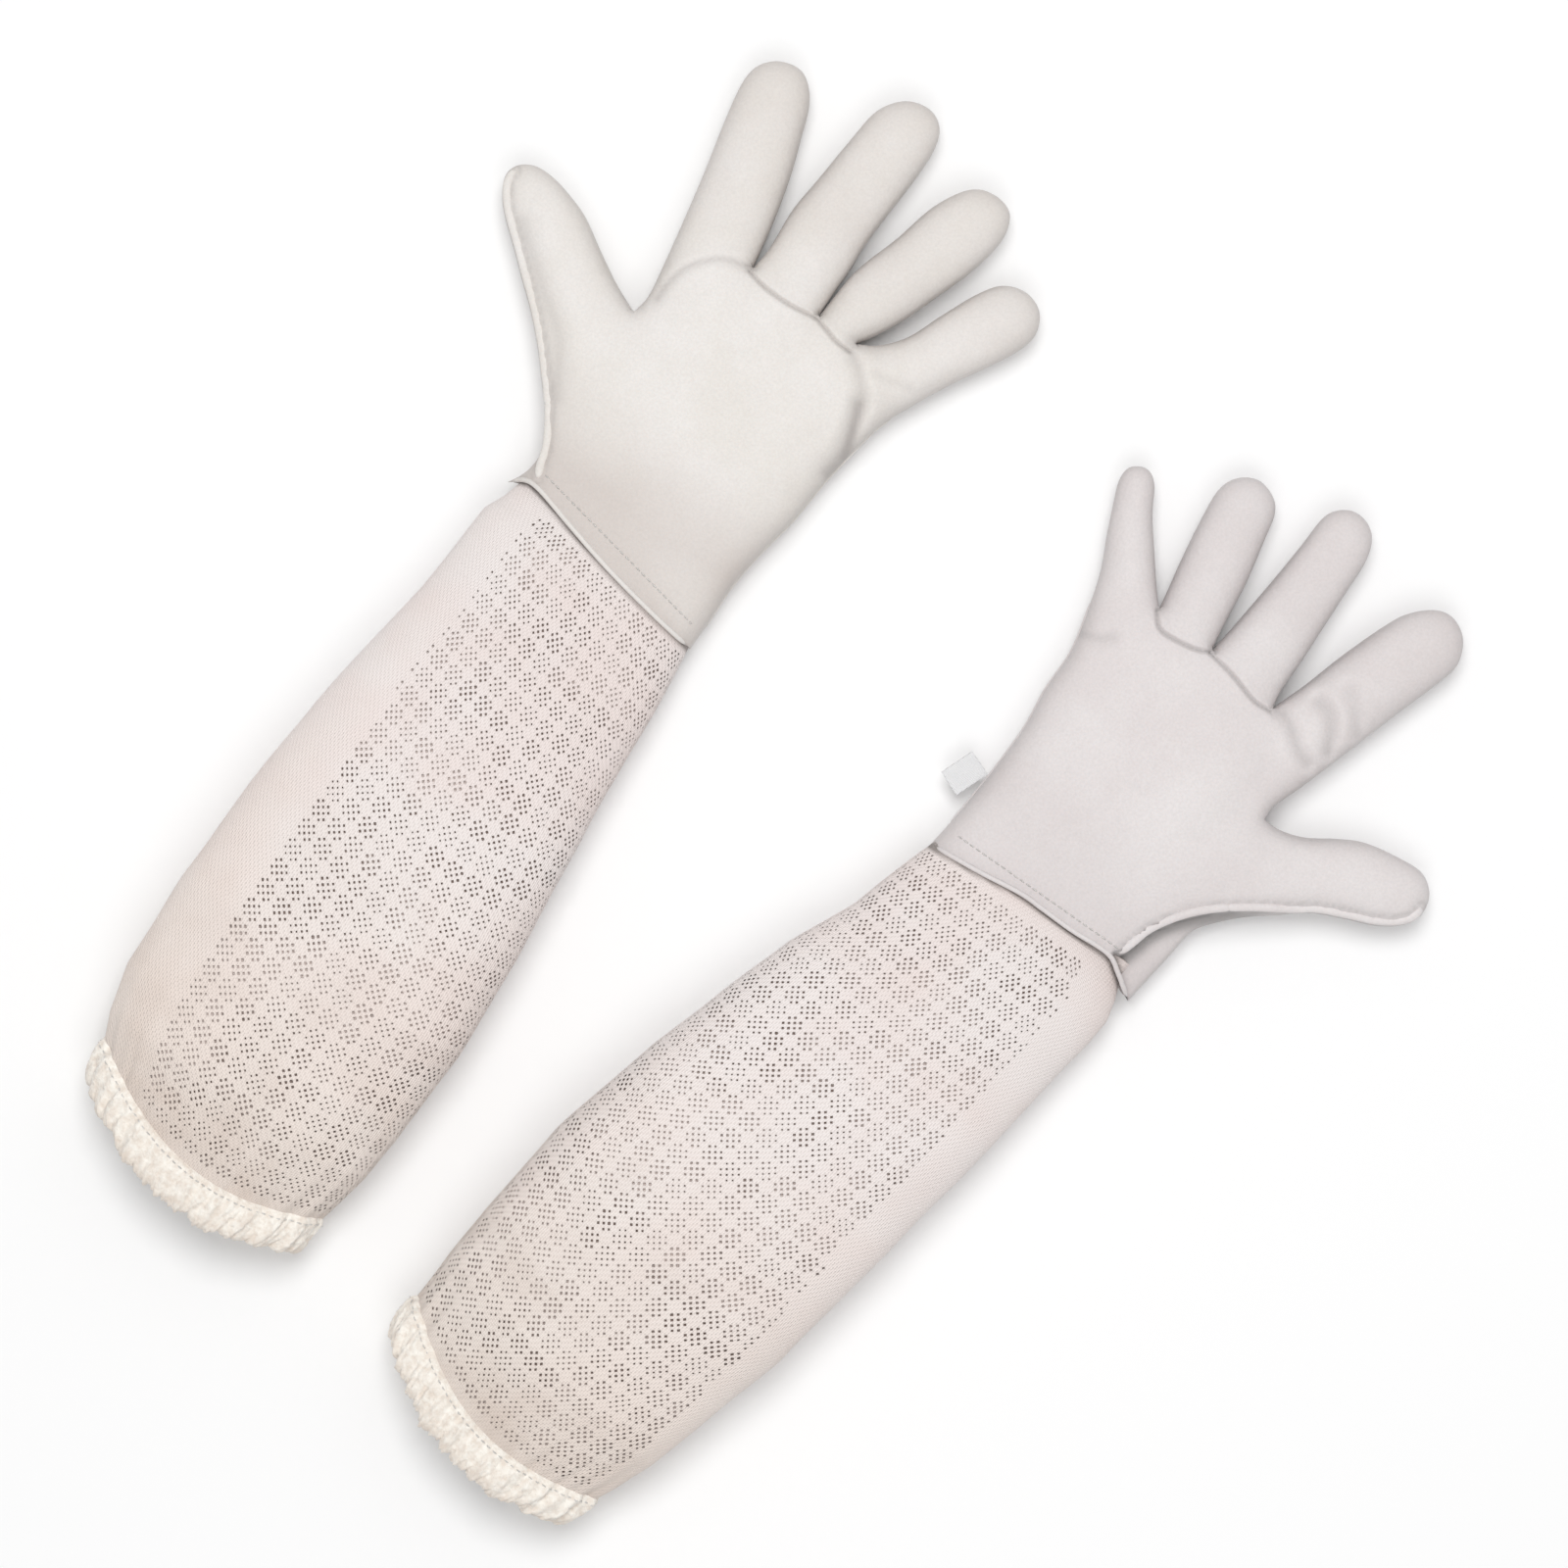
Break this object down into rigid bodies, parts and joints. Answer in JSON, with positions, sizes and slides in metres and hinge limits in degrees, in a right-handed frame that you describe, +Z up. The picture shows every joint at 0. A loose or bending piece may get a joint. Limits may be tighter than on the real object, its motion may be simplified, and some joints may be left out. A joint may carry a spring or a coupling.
{
  "type": "beekeeping gloves",
  "caption": "Pair of long beekeeping gloves, leather hands with hinged digits and ventilated three-layer mesh sleeves ending in gathered elastic cuffs.",
  "frame": {"origin": "on the table at the middle of the pair's outline", "axes": "+Z up from the table, palms up; +Y towards the fingertips; +X from the left glove to the right glove"},
  "size_m": [0.4689, 0.5273, 0.0567],
  "materials": {
    "leather_left": "matte",
    "leather_right": "matte",
    "leather_band": "matte",
    "knit": "matte",
    "spacer": "matte",
    "lining": "matte",
    "tape": "matte",
    "cuff": "matte",
    "elastic": "matte",
    "thread": "matte",
    "label": "satin"
  },
  "bodies": {
    "left_sleeve": {"left_sleeve_mesh": "knit", "left_sleeve_spacer": "spacer", "left_sleeve_lining": "lining", "left_sleeve_seam": "tape", "left_cuff_casing": "cuff", "left_cuff_elastic": "elastic", "left_cuff_stitching": "thread", "left_wrist_band": "leather_band", "left_wrist_stitching": "thread"},
    "left_hand": {"left_palm_panel": "leather_left", "left_back_panel": "leather_left", "left_hand_seam": "leather_left"},
    "left_index": {"left_index_front": "leather_left", "left_index_back": "leather_left"},
    "left_middle": {"left_middle_front": "leather_left", "left_middle_back": "leather_left"},
    "left_ring": {"left_ring_front": "leather_left", "left_ring_back": "leather_left"},
    "left_little": {"left_little_front": "leather_left", "left_little_back": "leather_left"},
    "left_thumb": {"left_thumb_front": "leather_left", "left_thumb_back": "leather_left", "left_thumb_welt": "leather_left"},
    "right_sleeve": {"right_sleeve_mesh": "knit", "right_sleeve_spacer": "spacer", "right_sleeve_lining": "lining", "right_sleeve_seam": "tape", "right_cuff_casing": "cuff", "right_cuff_elastic": "elastic", "right_cuff_stitching": "thread", "right_wrist_band": "leather_band", "right_wrist_stitching": "thread"},
    "right_hand": {"right_palm_panel": "leather_right", "right_back_panel": "leather_right", "right_hand_seam": "leather_right"},
    "right_index": {"right_index_front": "leather_right", "right_index_back": "leather_right"},
    "right_middle": {"right_middle_front": "leather_right", "right_middle_back": "leather_right"},
    "right_ring": {"right_ring_front": "leather_right", "right_ring_back": "leather_right"},
    "right_little": {"right_little_front": "leather_right", "right_little_back": "leather_right"},
    "right_thumb": {"right_thumb_front": "leather_right", "right_thumb_back": "leather_right", "right_thumb_welt": "leather_right"},
    "right_label": {"right_label_tab": "label"}
  },
  "joints": [
    {"name": "left_wrist_fold", "type": "hinge", "parent": "left_sleeve", "child": "left_hand", "pos_m": [-0.10347, 0.05404, 0.038], "axis": [0.9954, -0.0958, 0], "range_deg": [0, 80]},
    {"name": "left_index_fold", "type": "hinge", "parent": "left_hand", "child": "left_index", "pos_m": [-0.14952, 0.16495, 0.0295], "axis": [0.9613, 0.2756, 0], "range_deg": [0, 75]},
    {"name": "left_middle_fold", "type": "hinge", "parent": "left_hand", "child": "left_middle", "pos_m": [-0.11948, 0.16811, 0.0295], "axis": [0.9997, 0.0262, 0], "range_deg": [0, 75]},
    {"name": "left_ring_fold", "type": "hinge", "parent": "left_hand", "child": "left_ring", "pos_m": [-0.09098, 0.1696, 0.0295], "axis": [0.9848, -0.1736, 0], "range_deg": [0, 75]},
    {"name": "left_little_fold", "type": "hinge", "parent": "left_hand", "child": "left_little", "pos_m": [-0.06566, 0.16301, 0.0295], "axis": [0.9272, -0.3746, 0], "range_deg": [0, 75]},
    {"name": "left_thumb_fold", "type": "hinge", "parent": "left_hand", "child": "left_thumb", "pos_m": [-0.15455, 0.09706, 0.033], "axis": [-0.1045, 0.9945, 0], "range_deg": [0, 75]},
    {"name": "right_wrist_fold", "type": "hinge", "parent": "right_sleeve", "child": "right_hand", "pos_m": [0.11315, 0.05704, 0.038], "axis": [0.9963, 0.0854, 0], "range_deg": [0, 80]},
    {"name": "right_index_fold", "type": "hinge", "parent": "right_hand", "child": "right_index", "pos_m": [0.14996, 0.16816, 0.0295], "axis": [0.974, -0.2267, 0], "range_deg": [0, 75]},
    {"name": "right_middle_fold", "type": "hinge", "parent": "right_hand", "child": "right_middle", "pos_m": [0.11815, 0.16982, 0.0295], "axis": [0.9987, 0.0506, 0], "range_deg": [0, 75]},
    {"name": "right_ring_fold", "type": "hinge", "parent": "right_hand", "child": "right_ring", "pos_m": [0.08844, 0.16974, 0.0295], "axis": [0.9866, 0.1633, 0], "range_deg": [0, 75]},
    {"name": "right_little_fold", "type": "hinge", "parent": "right_hand", "child": "right_little", "pos_m": [0.06421, 0.16046, 0.0295], "axis": [0.8396, 0.5432, 0], "range_deg": [0, 75]},
    {"name": "right_thumb_fold", "type": "hinge", "parent": "right_hand", "child": "right_thumb", "pos_m": [0.16331, 0.10772, 0.033], "axis": [-0.1149, -0.9934, 0], "range_deg": [0, 75]},
    {"name": "pair_spread", "type": "slide", "parent": "left_sleeve", "child": "right_sleeve", "axis": [1, 0, 0], "range_m": [0, 0.1]},
    {"name": "right_label_fold", "type": "hinge", "parent": "right_hand", "child": "right_label", "pos_m": [0.06312, 0.07099, 0.013], "axis": [0.2773, 0.9608, 0], "range_deg": [-40, 75], "stiffness_Nm_per_rad": 0.00002}
  ]
}
